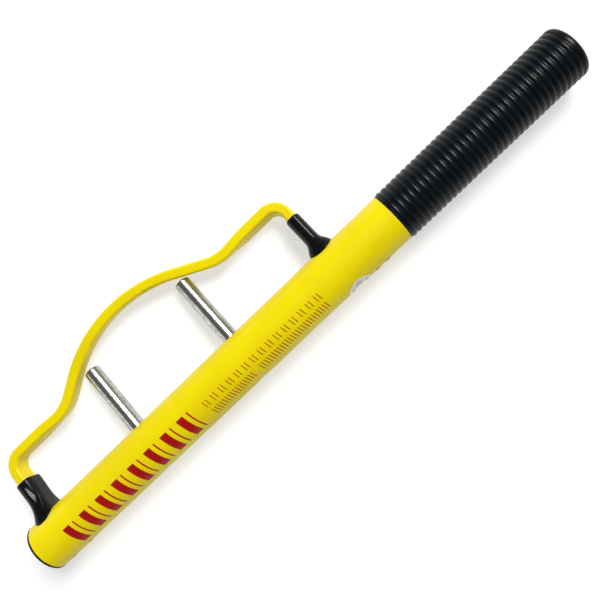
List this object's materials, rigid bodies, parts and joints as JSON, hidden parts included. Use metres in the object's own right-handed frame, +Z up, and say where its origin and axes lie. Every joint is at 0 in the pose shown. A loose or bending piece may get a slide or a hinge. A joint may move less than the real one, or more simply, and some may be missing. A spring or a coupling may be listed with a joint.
{
  "type": "steering wheel lock",
  "caption": "Steering wheel lock: steel tube with a ribbed hand grip, a hinged hoop that a key-operated bolt catches, and pins inside the hoop that trap the wheel's rim.",
  "frame": {"origin": "middle of the footprint, on the table that the lock lies on", "axes": "+X along the tube from the end cap to the hand grip, +Y towards the hoop, +Z up; the lock lies on its grip and its hoop, so the hoop slopes down by about 10 degrees"},
  "size_m": [0.652, 0.149, 0.0504],
  "materials": {
    "yellow_coat": "glossy yellow powder coat on steel",
    "black_plastic": "satin black moulded plastic",
    "black_vinyl": "satin black ribbed vinyl",
    "black_rubber": "semi-gloss black rubber",
    "plain_steel": "bare machined steel",
    "hard_steel": "hardened steel, dark and ground",
    "ground_steel": "ground and polished hardened steel",
    "spring_steel": "bright spring wire",
    "nickel": "satin nickel plate",
    "brass": "stamped brass",
    "bronze": "sintered bronze",
    "zinc_screws": "bright zinc plate",
    "black_screws": "black oxide"
  },
  "bodies": {
    "lock_frame": {"carrier_end_plate": "plain_steel", "carrier_screws": "black_screws", "end_plate_screws": "zinc_screws", "hand_grip": "black_vinyl", "handle_end_plug": "black_plastic", "handle_tube": "plain_steel", "hinge_block": "plain_steel", "hinge_block_screws": "black_screws", "hinge_boot": "black_rubber", "hinge_pin": "hard_steel", "hinge_washers": "bronze", "latch_carrier": "plain_steel", "latch_spring": "spring_steel", "lock_body": "nickel", "lock_grub_screw": "black_screws", "main_tube": "yellow_coat", "pin_bush_lower": "plain_steel", "pin_bush_upper": "plain_steel", "tube_end_cap": "black_plastic", "wheel_pin_lower": "ground_steel", "wheel_pin_upper": "ground_steel"},
    "hoop": {"hoop_bar": "yellow_coat", "hinge_knuckle": "plain_steel", "latch_sleeve": "black_rubber"},
    "plug": {"lock_plug": "nickel", "detainer_discs": "brass", "side_bar": "hard_steel", "lock_cam": "hard_steel", "cam_screw": "zinc_screws"},
    "bolt": {"latch_bolt": "hard_steel"}
  },
  "joints": [
    {"name": "hoop_swing", "type": "hinge", "parent": "lock_frame", "child": "hoop", "pos_m": [-0.302, -0.03945, 0.02344], "axis": [0, 0.1761, 0.9844], "range_deg": [0, 14], "deforming": ["hinge_boot"]},
    {"name": "plug_turn", "type": "hinge", "parent": "lock_frame", "child": "plug", "pos_m": [0.059, -0.07159, 0.02919], "axis": [0, 0.9844, -0.1761], "range_deg": [0, 90]},
    {"name": "bolt_slide", "type": "slide", "parent": "lock_frame", "child": "bolt", "axis": [-1, 0, 0], "range_m": [0, 0.006], "deforming": ["latch_spring"]}
  ],
  "couplings": [
    {"joint": "plug_turn", "follows": "bolt_slide", "rad_per_m": 261.8}
  ]
}
